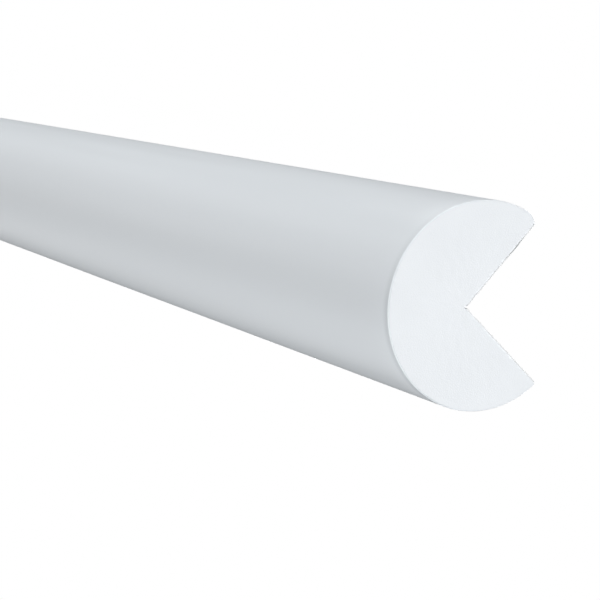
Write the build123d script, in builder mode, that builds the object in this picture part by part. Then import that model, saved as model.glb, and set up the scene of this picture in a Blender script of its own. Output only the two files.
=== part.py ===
"""Foam corner guard: a round bar of soft white foam with a right-angle notch along its length.

The bar is pushed onto the square edge of a wall, shelf or machine, and two strips of double-sided
tape in the notch hold it there. A thin tough skin covers the round outside. The foam, the tapes
and their liners are cut off together at both ends, so all of them are flush there.

Frame: the origin is where the protected edge sits, which is the line in which the two taped faces
would meet, at mid-length. X runs along the bar, Y points out of the notch, into whatever the
guard protects, and Z is up. Sizes are in millimetres and angles in degrees.
"""

from build123d import *

import os
from math import acos, cos, degrees, radians, sin, sqrt

# Driving dimensions
length = 1000.0  # the bar, end to end
diameter = 40.0  # across the round outside
back_thickness = 16.3  # from the bottom of the notch to the round outside behind it
notch_angle = 90.0  # between the two notch faces
skin_thickness = 0.5  # of the skin over the round outside
upper_lip_trim = 1.1  # how much the rounding of the upper lip takes off its notch face
upper_lip_radius = 4.0  # of that rounding, which runs on into the round outside
lower_lip_radius = 0.15  # the lower lip is a corner, just broken

strip_inset = 0.5  # from the bottom of the notch to the near edges of a tape and its liner
lip_clearance = 0.2  # from a liner's far edge to the lip
liner_overhang = 0.3  # how far a liner stands past its tape, so that a nail can lift it
tape_thickness = 0.15
liner_thickness = 0.1
silicone_clearance = 0.01  # between a tape and its liner, where the release coat is

# Worked out from them
radius = diameter / 2
core_radius = radius - skin_thickness
half_notch = radians(notch_angle / 2)
notch_bottom = -tape_thickness / sin(half_notch)  # Y of the line where the notch faces meet
depth = radius - back_thickness  # from there to the centre line of the round outside
centre = Vector(notch_bottom + depth, 0)


def flat_width(lip_radius):
    """Width of a notch face from the notch's bottom to where its lip's rounding starts. That
    rounding's centre lies lip_radius behind the face and lip_radius inside the round outside."""
    behind = depth * sin(half_notch) + lip_radius
    return depth * cos(half_notch) + sqrt((radius - lip_radius) ** 2 - behind**2)


# How far the two notch faces reach. With no rounding at all, both would reach flat_width(0).
face_widths = {"upper": flat_width(0) - upper_lip_trim, "lower": flat_width(lower_lip_radius)}

# The section, with Y to the right and Z up. The rounding of the upper lip starts at the edge of
# the notch face and ends where it is tangent to the round outside. The triangle of the lip's
# edge, the centre of its rounding and the centre of the bar gives the direction of that end.
far_corner = Vector(notch_bottom, 0) + Vector(cos(half_notch), -sin(half_notch)) * flat_width(0)
lip_edge = Vector(notch_bottom, 0) + Vector(cos(half_notch), sin(half_notch)) * face_widths["upper"]
edge_spread = (lip_edge - centre).length
lip_spread = radius - upper_lip_radius
turn = acos((edge_spread**2 + lip_spread**2 - upper_lip_radius**2) / (2 * edge_spread * lip_spread))
towards_lip = (lip_edge - centre).normalized().rotate(Axis.Z, degrees(turn))
lip_centre = centre + towards_lip * lip_spread
round_start = centre + towards_lip * radius
lip_middle = lip_centre + (lip_edge + round_start - lip_centre * 2).normalized() * upper_lip_radius

with BuildSketch() as guard_section:
    with BuildLine():
        ThreePointArc(lip_edge, lip_middle, round_start)
        ThreePointArc(round_start, centre - Vector(radius, 0), far_corner)
        Polyline(far_corner, (notch_bottom, 0), lip_edge)
    make_face()
    fillet(vertices().sort_by(Axis.Y)[0], lower_lip_radius)


def notch_face(side):
    """The plane of a notch face. Its X runs along the bar, its Y from the notch's bottom to the
    lip, and its Z out of the foam. side is 1 for the upper face and -1 for the lower one."""
    outward = (0, sin(half_notch), -side * cos(half_notch))
    return Plane(origin=(0, notch_bottom, 0), x_dir=(-side, 0, 0), z_dir=outward)


# The bar: the foam itself and the skin around it, cut through together
far_end = Plane.YZ.offset(-length / 2)

with BuildPart() as foam_core:
    with BuildSketch(far_end):
        add(guard_section.sketch)
        with Locations(centre):
            Circle(core_radius, mode=Mode.INTERSECT)
    extrude(amount=length)
foam_core.part.label = "foam_core"

with BuildPart() as outer_skin:
    with BuildSketch(far_end):
        add(guard_section.sketch)
        with Locations(centre):
            Circle(core_radius, mode=Mode.SUBTRACT)
    extrude(amount=length)
outer_skin.part.label = "outer_skin"

pieces = [foam_core, outer_skin]

# On each notch face: the tape that stays on the foam, and the liner that is peeled off it. Both
# cover their face from near the notch's bottom to near the lip.
for name, side in (("upper", 1), ("lower", -1)):
    face = notch_face(side)
    liner_width = face_widths[name] - strip_inset - lip_clearance
    tape_width = liner_width - liner_overhang

    with BuildPart() as tape:
        with BuildSketch(face):
            with Locations((0, strip_inset + tape_width / 2)):
                Rectangle(length, tape_width)
        extrude(amount=tape_thickness)
    tape.part.label = f"{name}_adhesive_tape"

    with BuildPart() as liner:
        with BuildSketch(face.offset(tape_thickness + silicone_clearance)):
            with Locations((0, strip_inset + liner_width / 2)):
                Rectangle(length, liner_width)
        extrude(amount=liner_thickness)
    liner.part.label = f"{name}_release_liner"

    pieces += [tape, liner]

os.makedirs("parts", exist_ok=True)
for piece in pieces:
    export_step(piece.part, f"parts/{piece.part.label}.step")
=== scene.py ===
# %% [markdown]
# # A foam corner guard
# This object is a metre of soft white foam with a round outside and a right-angle notch along it.
# It is pushed onto the edge of a wall or a machine, so that a knock against the edge does no harm.
# Two strips of double-sided tape in the notch hold it, each under a liner that is peeled off first.
#
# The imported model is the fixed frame: it says where everything is, and what moves. It is loaded
# first, and its box is kept, because the looks may not outgrow it.

# %% Load the frame
from math import acos, atan2, cos, exp, radians, sin, sqrt, tau

import bmesh
import bpy
from mathutils import Matrix, Vector, noise


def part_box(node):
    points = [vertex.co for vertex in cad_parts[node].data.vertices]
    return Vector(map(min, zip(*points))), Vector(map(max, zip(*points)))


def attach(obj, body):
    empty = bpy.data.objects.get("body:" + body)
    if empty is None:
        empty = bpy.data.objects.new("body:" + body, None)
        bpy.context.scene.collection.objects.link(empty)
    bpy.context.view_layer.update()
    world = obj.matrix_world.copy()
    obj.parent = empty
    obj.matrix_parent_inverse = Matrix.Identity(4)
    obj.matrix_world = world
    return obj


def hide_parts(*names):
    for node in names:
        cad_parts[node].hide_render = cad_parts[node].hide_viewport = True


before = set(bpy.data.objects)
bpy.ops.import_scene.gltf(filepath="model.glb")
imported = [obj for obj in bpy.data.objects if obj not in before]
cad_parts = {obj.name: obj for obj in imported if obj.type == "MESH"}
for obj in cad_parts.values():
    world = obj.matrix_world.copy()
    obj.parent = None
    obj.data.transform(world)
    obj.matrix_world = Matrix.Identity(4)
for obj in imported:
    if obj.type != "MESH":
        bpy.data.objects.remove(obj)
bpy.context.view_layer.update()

MM = 0.001

# %% [markdown]
# ## The sizes that everything follows
# A node of the frame is a mesh, so a size can be read off its corners. `reach` says how far a
# node goes along any direction, which suits strips that lie at 45 degrees, where a plain box says
# little. The two notch faces are told apart by `side`: 1 for the upper face, -1 for the lower one.

# %% Read the sizes from the frame
UPPER, LOWER = 1, -1
NAMES = {UPPER: "upper", LOWER: "lower"}
SLANT = sqrt(0.5)  # sine and cosine of the 45 degrees between a notch face and the mid plane


def along(side):
    """The direction in a notch face from the notch's bottom to the lip."""
    return Vector((0, SLANT, side * SLANT))


def outward(side):
    """The direction straight out of the foam from a notch face."""
    return Vector((0, SLANT, -side * SLANT))


def reach(node, direction):
    """The lowest and the highest place of a node's corners along a direction, in metres."""
    places = [corner.co.dot(direction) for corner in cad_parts[node].data.vertices]
    return min(places), max(places)


RADIUS = 20 * MM  # of the round outside
SKIN_THICKNESS = 0.5 * MM
BACK_THICKNESS = 16.3 * MM  # the foam and skin behind the bottom of the notch

skin_low, skin_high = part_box("outer_skin")
half_length = skin_high.x
core_radius = RADIUS - SKIN_THICKNESS
notch = Vector((0, reach("upper_adhesive_tape", outward(UPPER))[0] / SLANT, 0))
depth = RADIUS - BACK_THICKNESS  # from the notch's bottom to the centre of the round outside
centre = notch + Vector((0, depth, 0))
UPPER_LIP_TRIM = 1.1 * MM  # what the upper lip's rounding takes off its notch face
lip_radii = {UPPER: 4 * MM, LOWER: 0.15 * MM}
back_error = skin_low.y - (centre.y - RADIUS)
print(f"the bar is {2 * half_length:.3f} m long, and its back agrees to {back_error / MM:.3f} mm")
print(f"the notch's bottom is at Y {notch.y / MM:.3f} mm, {depth / MM:.3f} mm from the centre")

# %% [markdown]
# ## Drawing the section with compasses
# The section is a circle with a notch whose two lips are rounded. Placing each of its points by
# hand would be slow, and would lose the roundness. `bmesh.ops.spin` turns one point about an axis
# and leaves a chain of edges behind it, as a pair of compasses does. Each arc needs its centre
# and its two ends, and those come from the geometry of the notch.

# %% Points of the section


def on_face(side, distance):
    """A point of a notch face, at a distance from the notch's bottom."""
    return notch + along(side) * distance


def flat_width(lip_radius):
    """Width of a notch face up to where a rounding of its lip would touch it. The rounding's
    centre lies lip_radius behind the face, and lip_radius inside the round outside."""
    behind = depth * SLANT + lip_radius
    return depth * SLANT + sqrt((RADIUS - lip_radius) ** 2 - behind**2)


def turned(away, angle):
    """A direction turned about the bar's length, positive from +Y towards +Z."""
    return Matrix.Rotation(angle, 3, "X") @ away


def corner_angle(near, other, opposite):
    """The angle between two sides of a triangle, from its three lengths."""
    return acos((near**2 + other**2 - opposite**2) / (2 * near * other))


# The lower lip is a corner, just broken. The upper one is rounded on its outside only: the
# rounding starts with an edge on the notch face and runs on smoothly into the round outside.
lip_edge = on_face(UPPER, flat_width(0) - UPPER_LIP_TRIM)
spread = RADIUS - lip_radii[UPPER]
to_edge = lip_edge - centre
lean = corner_angle(to_edge.length, spread, lip_radii[UPPER])
towards_lip = turned(to_edge.normalized(), lean)
face_end = {UPPER: lip_edge, LOWER: on_face(LOWER, flat_width(lip_radii[LOWER]))}
lip_centre = {
    UPPER: centre + towards_lip * spread,
    LOWER: face_end[LOWER] - outward(LOWER) * lip_radii[LOWER],
}
round_start = {
    side: centre + (middle - centre).normalized() * RADIUS for side, middle in lip_centre.items()
}

# The core's circle cuts through the upper lip's rounding, and meets the lower face beyond it.
open_angle = corner_angle(spread, core_radius, lip_radii[UPPER])
core_start = centre + turned(towards_lip, -open_angle) * core_radius
core_end = on_face(LOWER, depth * SLANT + sqrt(core_radius**2 - (depth * SLANT) ** 2))
for side, end in face_end.items():
    print(f"the {NAMES[side]} notch face is {(end - notch).length / MM:.2f} mm wide")

# %% Arcs and lines as chains of edges
UPPER_LIP_STEPS, LOWER_LIP_STEPS = 8, 6  # edges in the arc round each lip


def angle_about(middle, point):
    """The angle of a point about middle, seen from +X, from 0 to a full turn."""
    away = point - middle
    return atan2(away.z, away.y) % tau


def draw_arc(bm, start, middle, end, steps):
    """Turns the vertex start about middle until it reaches end, and returns the last vertex."""
    middle = Vector((start.co.x, middle.y, middle.z))
    sweep = (angle_about(middle, end) - angle_about(middle, start.co)) % tau
    spun = bmesh.ops.spin(
        bm, geom=[start], cent=middle, axis=(1, 0, 0), angle=sweep, steps=steps, use_merge=False
    )
    return next(item for item in spun["geom_last"] if isinstance(item, bmesh.types.BMVert))


def draw_line(bm, start, end):
    """Draws one edge from the vertex start to end, and returns the last vertex."""
    made = bmesh.ops.extrude_vert_indiv(bm, verts=[start])["verts"][0]
    made.co.yz = end.yz
    return made


def pull_edges(bm, edges):
    """Extrudes a chain of edges, and returns the new vertices and the new chain."""
    made = bmesh.ops.extrude_edge_only(bm, edges=edges)["geom"]
    verts = [item for item in made if isinstance(item, bmesh.types.BMVert)]
    fresh = set(verts)
    chain = [e for e in made if isinstance(e, bmesh.types.BMEdge) and set(e.verts) <= fresh]
    return verts, chain


# %% [markdown]
# ## From a section to a bar
# A bar is its section pulled along X. The section is drawn at the far end, pulled to the near end
# in one go, and the long edges this leaves are then cut across, so that the surface can be given
# a little life further on. Where two faces meet at a clear angle the edge is kept sharp, and
# everything else is shaded smooth.

# %% Pull a section along the bar
MERGE = 0.0005 * MM  # points nearer than this are one point
SHARP = radians(25)


def pull_bar(bm, steps):
    """Pulls every face from the far end to the near end, and cuts the sides into steps."""
    made = bmesh.ops.extrude_face_region(bm, geom=bm.faces[:])["geom"]
    verts = [item for item in made if isinstance(item, bmesh.types.BMVert)]
    bmesh.ops.translate(bm, verts=verts, vec=(2 * half_length, 0, 0))
    long_edges = [e for e in bm.edges if e.calc_length() > half_length]
    bmesh.ops.subdivide_edges(bm, edges=long_edges, cuts=steps - 1, use_grid_fill=True)


def make_piece(bm, name):
    """Turns faces outwards, marks sharp edges, and puts the mesh into the scene."""
    bmesh.ops.recalc_face_normals(bm, faces=bm.faces[:])
    for face in bm.faces:
        face.smooth = True
    for edge in bm.edges:
        edge.smooth = edge.calc_face_angle(0) < SHARP
    mesh = bpy.data.meshes.new(name)
    bm.to_mesh(mesh)
    bm.free()
    piece = bpy.data.objects.new(name, mesh)
    bpy.context.scene.collection.objects.link(piece)
    triangles = sum(len(face.vertices) - 2 for face in mesh.polygons)
    print(f"{name}: {len(mesh.vertices)} points, {triangles} triangles")
    return piece


# %% [markdown]
# ## The foam
# The foam is cast solid, and its ends are cut with a long knife. A filled outline would be one
# huge face that can't be shaped, so the outline is pulled towards the notch's bottom in rings
# instead. From that corner every point of the outline can be seen, so the rings never fold. The
# knife drags the foam a little, so the cut dishes by less than a tenth of a millimetre, with a
# fine unevenness.

# %% Build the foam
FOAM_ROUND_STEPS = 180
FOAM_LENGTH_STEPS = 50
RINGS = 26
DISH = 0.07 * MM
CUT_GRAIN = 0.025 * MM
COARSE, FINE = 700, 1900  # of the grain, in lumps per metre
FINE_SHARE = 0.5


def foam_section(bm):
    """Fills the foam's outline at the far end with rings that shrink to the notch's bottom."""
    start = bm.verts.new(lip_edge - Vector((half_length, 0, 0)))
    at = draw_arc(bm, start, lip_centre[UPPER], core_start, UPPER_LIP_STEPS)
    draw_arc(bm, at, centre, core_end, FOAM_ROUND_STEPS)
    ring = bm.edges[:]
    about_notch = Matrix.Translation(-notch)
    for left in range(RINGS, 0, -1):
        verts, ring = pull_edges(bm, ring)
        share = (left - 1) / left
        bmesh.ops.scale(bm, vec=(1, share, share), space=about_notch, verts=verts)
    bmesh.ops.remove_doubles(bm, verts=bm.verts[:], dist=MERGE)


def rough_cut(bm):
    """Dishes both cut ends and makes them uneven, fading to nothing at the outside."""
    for vert in bm.verts:
        if abs(vert.co.x) < half_length - MERGE:
            continue
        inside = 1 - ((vert.co - centre).yz.length / core_radius) ** 4
        grain = noise.noise(vert.co * COARSE) + FINE_SHARE * noise.noise(vert.co * FINE)
        inward = max(0.0, inside) * (DISH + CUT_GRAIN * grain)
        vert.co.x -= inward if vert.co.x > 0 else -inward


bm = bmesh.new()
foam_section(bm)
pull_bar(bm, FOAM_LENGTH_STEPS)
rough_cut(bm)
foam = make_piece(bm, "foam_bar")

# %% [markdown]
# ## The skin
# The round outside has a thin tough skin, cast with the foam. It wraps round the upper lip and
# thins out there, and it ends square on the lower face. Its outer line is drawn first, and then
# pulled inwards onto the core's circle. A cast skin is never quite true, so the surface rises
# and falls by some hundredths of a millimetre, enough to soften a reflection. The knife leaves a
# tiny rounding where it breaks the skin's edge, and less of one at the lips, where it came out
# again. The rounding is a few more cuts across the bar, each drawn in a little further.

# %% Build the skin
SKIN_ROUND_STEPS = 168
SKIN_LENGTH_STEPS = 125
SWELL = 0.03 * MM
WAVES, RIPPLES = Vector((14, 60, 60)), Vector((60, 160, 160))  # lumps per metre along each axis
RIPPLE_SHIFT = Vector((0, 0, 7))  # so that the ripples don't follow the waves
RIPPLE_SHARE = 0.35
END_FADE = 12 * MM  # the swell dies out this far from a cut
RIM_ROUNDING = 0.32 * MM
ROUNDING_STEPS = 5
KEPT_AT_LIPS = 0.2  # the share of the rounding that is left where the knife came out again
FULL_ROUNDING, LEAST_ROUNDING = 0.0, 9 * MM  # the rounding shrinks between these places along Y
CUT_FACING = 0.99  # a face that looks along the bar this squarely is part of a cut


def skin_section(bm):
    """Draws the skin's outer line at the far end, and pulls it in onto the core's circle."""
    start = bm.verts.new(core_start - Vector((half_length, 0, 0)))
    at = draw_arc(bm, start, lip_centre[UPPER], round_start[UPPER], UPPER_LIP_STEPS)
    at = draw_arc(bm, at, centre, round_start[LOWER], SKIN_ROUND_STEPS)
    at = draw_arc(bm, at, lip_centre[LOWER], face_end[LOWER], LOWER_LIP_STEPS)
    draw_line(bm, at, core_end)
    verts, _ = pull_edges(bm, bm.edges[:])
    first, last = angle_about(centre, core_start), angle_about(centre, core_end)
    for vert in verts:
        angle = min(max(angle_about(centre, vert.co), first), last)
        vert.co.y = centre.y + core_radius * cos(angle)
        vert.co.z = centre.z + core_radius * sin(angle)
    bmesh.ops.remove_doubles(bm, verts=bm.verts[:], dist=MERGE)


def round_rims(bm):
    """Cuts the ends across a few times more, and draws the outside in towards the core there, so
    that both rims are a quarter circle at the back of the bar, and a flatter curve at the lips."""
    for step in range(ROUNDING_STEPS):
        from_cut = RIM_ROUNDING * (1 - sin(radians(90) * step / ROUNDING_STEPS))
        for place in (from_cut - half_length, half_length - from_cut):
            bmesh.ops.bisect_plane(
                bm, geom=bm.verts[:] + bm.edges[:] + bm.faces[:], dist=MERGE,
                plane_co=(place, 0, 0), plane_no=(1, 0, 0),
            )
    for vert in bm.verts:
        share = 1 - (half_length - abs(vert.co.x)) / RIM_ROUNDING
        if share <= 0:
            continue
        drawn_in = (1 - sqrt(1 - min(share, 1.0) ** 2)) * RIM_ROUNDING / SKIN_THICKNESS
        lipward = (vert.co.y - FULL_ROUNDING) / (LEAST_ROUNDING - FULL_ROUNDING)
        drawn_in *= 1 + (KEPT_AT_LIPS - 1) * min(max(lipward, 0.0), 1.0)
        away = Vector((0, vert.co.y - centre.y, vert.co.z))
        vert.co -= away * (1 - core_radius / away.length) * drawn_in


def mark_cuts(bm):
    """Gives the faces at both cuts the skin's second material."""
    for face in bm.faces:
        face.normal_update()
        face.material_index = int(abs(face.normal.x) > CUT_FACING)


def swell(bm):
    """Makes the skin rise and fall a little, except near the cuts. The waves are about four times
    as long along the bar as around it, and the ripples on them are finer."""
    for vert in bm.verts:
        fade = min(1.0, (half_length - abs(vert.co.x)) / END_FADE)
        wave = noise.noise(vert.co * WAVES)
        ripple = noise.noise(vert.co * RIPPLES + RIPPLE_SHIFT)
        away = Vector((0, vert.co.y - centre.y, vert.co.z)).normalized()
        vert.co += away * SWELL * fade * (wave + RIPPLE_SHARE * ripple)


bm = bmesh.new()
skin_section(bm)
pull_bar(bm, SKIN_LENGTH_STEPS)
swell(bm)
round_rims(bm)
mark_cuts(bm)
skin = make_piece(bm, "skin_shell")

# %% [markdown]
# ## Tapes and liners
# A tape and its liner are strips that lie on a notch face. A grid can be made straight in that
# face, because `create_grid` takes a matrix whose columns are the grid's own axes. The strip then
# gets its thickness from `solidify`. The tape's edges wander a little where the adhesive has
# crept. The liner is siliconised paper: its free edge stands off a little so that a nail can lift
# it, it cockles along its length, and the knife has pressed it down at the cuts. Only one short
# stretch of the upper liner has come up again at the near end.

# %% Lay a strip on a notch face


def lay_grid(bm, node, side, x_steps, y_steps):
    """Fills the foot of a CAD strip with a grid, and returns its thickness."""
    low, high = reach(node, along(side))
    bottom, top = reach(node, outward(side))
    own_axes = Matrix((Vector((half_length, 0, 0)), along(side) * (high - low) / 2, outward(side)))
    middle = along(side) * (high + low) / 2 + outward(side) * bottom
    matrix = Matrix.Translation(middle) @ own_axes.transposed().to_4x4()
    bmesh.ops.create_grid(bm, x_segments=x_steps, y_segments=y_steps, size=1, matrix=matrix)
    return top - bottom


def thicken(bm, thickness, side):
    """Gives a grid its thickness, away from the foam."""
    for face in bm.faces:
        face.normal_update()
    if bm.faces[:][0].normal.dot(outward(side)) > 0:
        bmesh.ops.reverse_faces(bm, faces=bm.faces[:])
    bmesh.ops.solidify(bm, geom=bm.faces[:], thickness=thickness)


# %% Build the tapes
TAPE_LENGTH_STEPS, TAPE_WIDTH_STEPS = 250, 8
CREEP = 0.06 * MM
WANDER = 90  # lumps per metre along an edge
EDGE_POWER = 9  # so high that only the outermost rows move


def make_tape(side):
    """One strip of double-sided tape, its long edges wandering where adhesive has crept."""
    node = f"{NAMES[side]}_adhesive_tape"
    low, high = reach(node, along(side))
    bm = bmesh.new()
    thickness = lay_grid(bm, node, side, TAPE_LENGTH_STEPS, TAPE_WIDTH_STEPS)
    for vert in bm.verts:
        place = (2 * vert.co.dot(along(side)) - low - high) / (high - low)
        edge = place**EDGE_POWER
        # each edge of each tape wanders in its own way
        wander = noise.noise(Vector((vert.co.x * WANDER, edge * 3, side * 5)))
        vert.co += along(side) * edge * CREEP * (wander - 0.5)
    thicken(bm, thickness, side)
    return make_piece(bm, f"{NAMES[side]}_tape")


tapes = {side: make_tape(side) for side in NAMES}

# %% Build the liners
LINER_LENGTH_STEPS, LINER_WIDTH_STEPS = 500, 20
EDGE_LIFT = 0.08 * MM
FREE_SHARE = 0.28  # the share of the width that lifts
COCKLE = 0.03 * MM
LIFT_LUMPS, COCKLE_LUMPS = 11, 45  # per metre along the bar
PRESS_LENGTH = 6 * MM  # the knife has pressed the liner down this far from a cut
BOW = 0.14 * MM  # of the stretch that has come up
BOW_LENGTH = 7 * MM
BOW_AT, BOW_SPREAD = 0.72, 0.1  # shares of the liner's width


def stand_off(side, x, share):
    """How far a liner stands off its tape, at x along the bar and share across, from 0 at the
    notch's bottom to 1 at the free edge."""
    slow = 0.5 + 0.5 * noise.noise(Vector((x * LIFT_LUMPS, 3, 5 * side)))
    cockle = 0.5 + 0.5 * noise.noise(Vector((x * COCKLE_LUMPS, share * 3, 9 * side)))
    free = max(0.0, 1 - (1 - share) / FREE_SHARE) ** 2
    from_cut = half_length - abs(x)
    pressed = 1 - exp(-from_cut / PRESS_LENGTH)
    off = (EDGE_LIFT * free * slow + COCKLE * cockle * share) * pressed
    if side == UPPER and x > 0:
        off += BOW * exp(-from_cut / BOW_LENGTH) * exp(-(((share - BOW_AT) / BOW_SPREAD) ** 2))
    return off


def make_liner(side):
    """One release liner, with its lifted edge and its cockles, pressed flat at the cuts."""
    node = f"{NAMES[side]}_release_liner"
    low, high = reach(node, along(side))
    bm = bmesh.new()
    thickness = lay_grid(bm, node, side, LINER_LENGTH_STEPS, LINER_WIDTH_STEPS)
    for vert in bm.verts:
        share = (vert.co.dot(along(side)) - low) / (high - low)
        vert.co += outward(side) * stand_off(side, vert.co.x, share)
    thicken(bm, thickness, side)
    return make_piece(bm, f"{NAMES[side]}_liner")


liners = {side: make_liner(side) for side in NAMES}

# %% [markdown]
# ## Materials
# All the finishes are made of noise and cells read at the piece's own coordinates, so they stay
# with the piece when it moves. A few short helpers lay the nodes, and each finish then reads as a
# recipe. Scales are in cells per metre: 4000 gives cells of a quarter of a millimetre. A scale of
# three numbers stretches the noise, and makes lines along the axis that has the smallest one.

# %% Helpers for node materials


class Finish:
    """A material with its Principled shader, and short ways to lay the nodes before it."""

    def __init__(self, name, colour, roughness):
        self.material = bpy.data.materials.new(name)
        self.material.use_nodes = True
        self.nodes = self.material.node_tree.nodes
        self.links = self.material.node_tree.links
        self.shader = self.nodes["Principled BSDF"]
        self.shader.inputs["Base Color"].default_value = (*colour, 1)
        self.shader.inputs["Roughness"].default_value = roughness
        self.place = self.nodes.new("ShaderNodeTexCoord").outputs["Object"]

    def stretched(self, scale):
        """The piece's coordinates, scaled along each axis."""
        mapping = self.nodes.new("ShaderNodeMapping")
        mapping.inputs["Scale"].default_value = scale
        self.links.new(self.place, mapping.inputs["Vector"])
        return mapping.outputs["Vector"]

    def noise(self, scale, detail, place=None):
        """Cloudy noise, about 0.5 on average."""
        node = self.nodes.new("ShaderNodeTexNoise")
        node.inputs["Scale"].default_value = scale
        node.inputs["Detail"].default_value = detail
        self.links.new(place or self.place, node.inputs["Vector"])
        return node.outputs["Fac"]

    def cells(self, scale):
        """Distance from the middle of the nearest cell, 0 to about 1."""
        node = self.nodes.new("ShaderNodeTexVoronoi")
        node.inputs["Scale"].default_value = scale
        self.links.new(self.place, node.inputs["Vector"])
        return node.outputs["Distance"]

    def spread(self, value, low, high, start, end):
        """Maps a value from start..end to low..high."""
        node = self.nodes.new("ShaderNodeMapRange")
        limits = {"From Min": start, "From Max": end, "To Min": low, "To Max": high}
        for name, number in limits.items():
            node.inputs[name].default_value = number
        self.links.new(value, node.inputs["Value"])
        return node.outputs["Result"]

    def between(self, share, first, second):
        """A colour between two others."""
        node = self.nodes.new("ShaderNodeMix")
        node.data_type = "RGBA"
        node.inputs[6].default_value = (*first, 1)
        node.inputs[7].default_value = (*second, 1)
        self.links.new(share, node.inputs[0])
        return node.outputs[2]

    def over(self, colour, share, second):
        """Another colour laid over a colour by a share."""
        mixed = self.between(share, (0, 0, 0), second)
        self.links.new(colour, mixed.node.inputs[6])
        return mixed

    def bump(self, height, distance, strength, under=None):
        """Raises the surface by height times distance, on top of another bump if one is given."""
        node = self.nodes.new("ShaderNodeBump")
        node.inputs["Distance"].default_value = distance
        node.inputs["Strength"].default_value = strength
        self.links.new(height, node.inputs["Height"])
        if under is not None:
            self.links.new(under, node.inputs["Normal"])
        return node.outputs["Normal"]

    def math(self, operation, first, second=None):
        """Arithmetic on one or two values."""
        node = self.nodes.new("ShaderNodeMath")
        node.operation = operation
        self.links.new(first, node.inputs[0])
        if second is not None:
            self.links.new(second, node.inputs[1])
        return node.outputs["Value"]

    def axis(self, name):
        """How far out a place is along X, Y or Z."""
        split = self.nodes.new("ShaderNodeSeparateXYZ")
        self.links.new(self.place, split.inputs["Vector"])
        return split.outputs[name]

    def set(self, socket, value):
        """Leads a node's result into one of the shader's sockets."""
        self.links.new(value, self.shader.inputs[socket])


# %% [markdown]
# ## The five finishes
# The cut foam is matte, with open cells. The cast skin is satin, and keeps the flow lines of the
# casting, which show mostly in its gloss. Beside each cut, low down at the back of the bar, it has
# a narrow band of painted shade. The skin's own cut is solid. The adhesive is glossy, milky and
# uneven, and the liner is a smooth satin paper. Both are a more neutral white than the foam, which
# leans towards blue.

# %% Foam, and skin that was cut
KNIFE_LINES = (300, 60, 1400)


def cut_foam():
    """Dense white foam with cells of a quarter of a millimetre, and faint lines from the knife."""
    finish = Finish("cut_foam", (0.863, 0.896, 0.928), 0.85)
    cells = finish.cells(4200)
    cloud = finish.noise(110, 3)
    tone = finish.spread(cloud, 0.0, 1.0, 0.3, 0.7)
    finish.set("Base Color", finish.between(tone, (0.853, 0.886, 0.918), (0.873, 0.906, 0.938)))
    knife = finish.noise(1, 2, finish.stretched(KNIFE_LINES))
    drag = finish.bump(knife, 0.02 * MM, 0.5)
    finish.set("Normal", finish.bump(cells, 0.03 * MM, 0.6, drag))
    return finish.material


def cut_skin():
    """The skin where the knife went through it: solid, with no cells to shade it, so its colour is
    set a little lower than the foam's, to end up as bright."""
    finish = Finish("cut_skin", (0.855, 0.889, 0.920), 0.5)
    knife = finish.noise(1, 2, finish.stretched(KNIFE_LINES))
    finish.set("Roughness", finish.spread(knife, 0.45, 0.6, 0.3, 0.7))
    finish.set("Normal", finish.bump(knife, 0.01 * MM, 0.4))
    return finish.material


# %% Skin
SHADE_BAND_LENGTH = 2.2 * MM  # the painted shade reaches this far from a cut
SHADE_BAND_LOW, SHADE_BAND_HIGH = 2 * MM, 14 * MM  # the painted shade fades between these heights
SHADE_BAND_BACK, SHADE_BAND_END = -7 * MM, -2 * MM  # and ends between these places along Y
FAINT_SHADE = 0.3  # what is left of the painted shade higher up


def cast_skin():
    """Satin skin: a fine orange peel, with flow lines along the bar that show mostly in the gloss,
    and a band of painted shade beside each cut, darker low down at the back."""
    finish = Finish("cast_skin", (0.833, 0.876, 0.912), 0.45)
    peel = finish.noise(900, 2)
    flow = finish.noise(1, 3, finish.stretched((6, 260, 260)))
    finish.set("Roughness", finish.spread(flow, 0.40, 0.50, 0.3, 0.7))
    even = finish.between(flow, (0.825, 0.868, 0.904), (0.841, 0.884, 0.920))
    # painted shade: a darker band beside each cut, strongest low down at the back of the bar
    from_middle = finish.math("ABSOLUTE", finish.axis("X"))
    shade_near_cut = finish.spread(from_middle, 0.0, 1.0, half_length - SHADE_BAND_LENGTH, half_length)
    shade_low_down = finish.spread(finish.axis("Z"), 1.0, FAINT_SHADE, SHADE_BAND_LOW, SHADE_BAND_HIGH)
    shade_at_back = finish.spread(finish.axis("Y"), 1.0, 0.0, SHADE_BAND_BACK, SHADE_BAND_END)
    painted_shade = finish.math("MULTIPLY", finish.math("MULTIPLY", shade_near_cut, shade_low_down), shade_at_back)
    # the colour of the painted shade, laid over the skin's own tone
    finish.set("Base Color", finish.over(even, painted_shade, (0.66, 0.70, 0.73)))
    finish.set("Normal", finish.bump(peel, 0.02 * MM, 0.5))
    return finish.material


# %% Adhesive and liner paper


def adhesive():
    """Milky tacky adhesive: mottled where it has wetted the foam unevenly, with a few bubbles."""
    finish = Finish("adhesive", (0.83, 0.85, 0.86), 0.22)
    mottle = finish.noise(420, 4)
    tone = finish.spread(mottle, 0.0, 1.0, 0.35, 0.65)
    clear = finish.between(tone, (0.79, 0.81, 0.817), (0.87, 0.89, 0.90))
    bubbles = finish.spread(finish.cells(260), 1.0, 0.0, 0.08, 0.13)
    finish.set("Base Color", finish.over(clear, bubbles, (0.90, 0.91, 0.91)))
    finish.set("Normal", finish.bump(mottle, 0.05 * MM, 0.6))
    return finish.material


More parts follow.
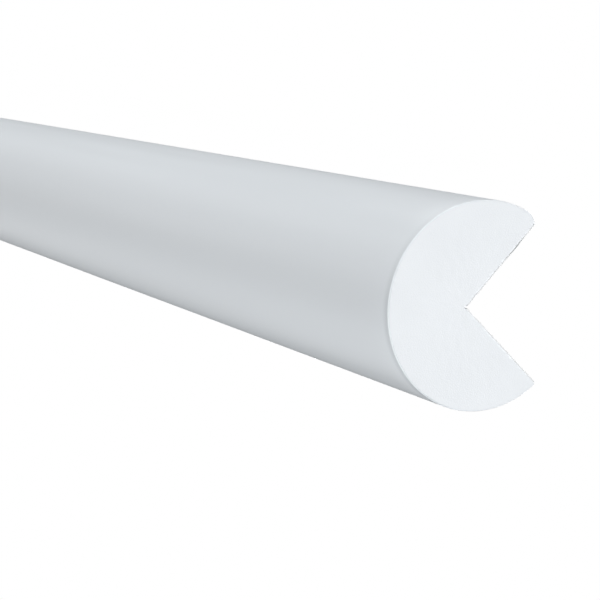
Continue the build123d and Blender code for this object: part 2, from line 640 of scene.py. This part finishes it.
def liner_paper():
    """Smooth siliconised paper with a faint fibre and soft streaks along the roll."""
    finish = Finish("liner_paper", (0.83, 0.85, 0.86), 0.53)
    fibre = finish.noise(1, 4, finish.stretched((700, 2600, 2600)))
    streak = finish.noise(1, 2, finish.stretched((9, 180, 180)))
    finish.set("Base Color", finish.between(streak, (0.815, 0.835, 0.85), (0.85, 0.87, 0.88)))
    finish.set("Roughness", finish.spread(fibre, 0.48, 0.58, 0.3, 0.7))
    finish.set("Normal", finish.bump(fibre, 0.008 * MM, 0.5))
    return finish.material


# %% Give every piece its finish
adhesive_film, siliconised_paper = adhesive(), liner_paper()
for piece, materials, slot in (
    (foam, [cut_foam()], "foam"),
    (skin, [cast_skin(), cut_skin()], "skin"),
    (tapes[UPPER], [adhesive_film], "adhesive"),
    (tapes[LOWER], [adhesive_film], "adhesive"),
    (liners[UPPER], [siliconised_paper], "liner"),
    (liners[LOWER], [siliconised_paper], "liner"),
):
    for material in materials:
        piece.data.materials.append(material)
    print(piece.name, "wears", [material.name for material in materials])

# %% [markdown]
# ## Which body each piece moves with
# The foam, its skin and the tapes are one body. Each liner is its own, because it is peeled off.

# %% Tie the pieces to the frame
for piece, body, node in (
    (foam, "profile", "foam_core"),
    (skin, "profile", "outer_skin"),
    (tapes[UPPER], "profile", "upper_adhesive_tape"),
    (tapes[LOWER], "profile", "lower_adhesive_tape"),
    (liners[UPPER], "upper_liner", "upper_release_liner"),
    (liners[LOWER], "lower_liner", "lower_release_liner"),
):
    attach(piece, body)
    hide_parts(node)

# %% [markdown]
# ## Camera
# The bar is seen nearly end on, from a little above, with a long lens that keeps the cut end
# round. The camera looks at a point in the plane of the near cut.

# %% Place the camera
VIEW_AZIMUTH, VIEW_ELEVATION = radians(63.92), radians(8.89)
VIEW_DISTANCE = 316.5 * MM
LENS = 107.2  # millimetres on a sensor 36 mm wide
AIM_BACK, AIM_UP = 34.06 * MM, 3.8 * MM  # how far behind and above the notch's bottom it looks
aim = Vector((half_length, notch.y - AIM_BACK, AIM_UP))
back = Vector((
    sin(VIEW_AZIMUTH) * cos(VIEW_ELEVATION),
    -cos(VIEW_AZIMUTH) * cos(VIEW_ELEVATION),
    sin(VIEW_ELEVATION),
))
camera = bpy.data.objects.new("camera", bpy.data.cameras.new("camera"))
camera.data.lens = LENS
camera.data.clip_start = 0.01
camera.location = aim + back * VIEW_DISTANCE
camera.rotation_euler = back.to_track_quat("Z", "Y").to_euler()
bpy.context.scene.collection.objects.link(camera)
bpy.context.scene.camera = camera
print("camera at", [round(x, 4) for x in camera.location])

# %% [markdown]
# ## A white studio
# A white object on white only reads by its shading, so the lights are large and soft, and each
# has one job. The floor and the background are plain white to the camera alone: if they lit the
# bar as well, its underside would lose its shade.

# %% Floor
FLOOR_DROP = 0.5  # metres below the bar
FLOOR_REACH = 6  # metres to each side


def plain_white():
    """An even white that needs no light."""
    material = bpy.data.materials.new("white_floor")
    material.use_nodes = True
    nodes = material.node_tree.nodes
    nodes.clear()
    glow = nodes.new("ShaderNodeEmission")
    output = nodes.new("ShaderNodeOutputMaterial")
    material.node_tree.links.new(glow.outputs["Emission"], output.inputs["Surface"])
    return material


bm = bmesh.new()
below = Matrix.Translation((0, 0, -FLOOR_DROP))
bmesh.ops.create_grid(bm, x_segments=1, y_segments=1, size=FLOOR_REACH, matrix=below)
floor = make_piece(bm, "floor")
floor.data.materials.append(plain_white())
floor.visible_diffuse = False
floor.visible_glossy = False
floor.visible_shadow = False

# %% Background, white to the camera and dark to everything else
world = bpy.data.worlds.new("studio")
world.use_nodes = True
bpy.context.scene.world = world
nodes, links = world.node_tree.nodes, world.node_tree.links
dark = nodes["Background"]
dark.inputs["Strength"].default_value = 0
white = nodes.new("ShaderNodeBackground")
white.inputs["Color"].default_value = (1, 1, 1, 1)
path = nodes.new("ShaderNodeLightPath")
choose = nodes.new("ShaderNodeMixShader")
links.new(path.outputs["Is Camera Ray"], choose.inputs["Fac"])
links.new(dark.outputs["Background"], choose.inputs[1])
links.new(white.outputs["Background"], choose.inputs[2])
links.new(choose.outputs["Shader"], nodes["World Output"].inputs["Surface"])
bpy.context.scene.view_settings.view_transform = "Standard"

# %% [markdown]
# ## The lamps
# The two overhead lamps shade the round side from the top down. The front lamp fills it, and the
# two near the end light the cut, so that it is the brightest face. The sheens stand beyond the far
# end and are weak: the skin only mirrors them at a low angle, which gives the soft lines along the
# bar. The last two light the notch and the far end for whoever walks round, and stay out of the
# gloss.

# %% Lights
LAMP_DISTANCE = 2.5
LAMP_SIZE = 0.9
LIT_PLACE = Vector((0.6 * half_length, 0, 0))  # the stretch of the bar that the camera sees


def softbox(name, lean, around, watts, glossy=True):
    """A round soft light. around is its angle about the bar, from the round side up and over it,
    and lean tips it towards the near end, or towards the far end if it is below zero."""
    lean, around = radians(lean), radians(around)
    away = Vector((sin(lean), -cos(lean) * cos(around), cos(lean) * sin(around)))
    light = bpy.data.lights.new(name, "AREA")
    light.shape = "DISK"
    light.size = LAMP_SIZE
    light.energy = watts
    lamp = bpy.data.objects.new(name, light)
    lamp.location = LIT_PLACE + away * LAMP_DISTANCE
    lamp.rotation_euler = away.to_track_quat("Z", "X").to_euler()
    lamp.visible_glossy = glossy
    bpy.context.scene.collection.objects.link(lamp)


softbox("overhead", 0, 100, 32)
softbox("overhead_far", -30, 90, 16)
softbox("front", 30, 0, 32)
softbox("near_end_high", 60, 120, 11.6)
softbox("near_end_low", 60, 300, 36.7)
softbox("sheen_upper", -60, 20, 3.6)
softbox("sheen_top", -60, 60, 2.7)
softbox("sheen_under", -60, 280, 1.5)
softbox("sheen_middle", -75, 0, 1.4)
softbox("sheen_lower", -75, 300, 2.6)
softbox("notch_side", 0, 200, 20, glossy=False)
softbox("far_end", -60, 200, 30, glossy=False)
print(len(bpy.data.lights), "lamps,", LAMP_DISTANCE, "m from the bar")
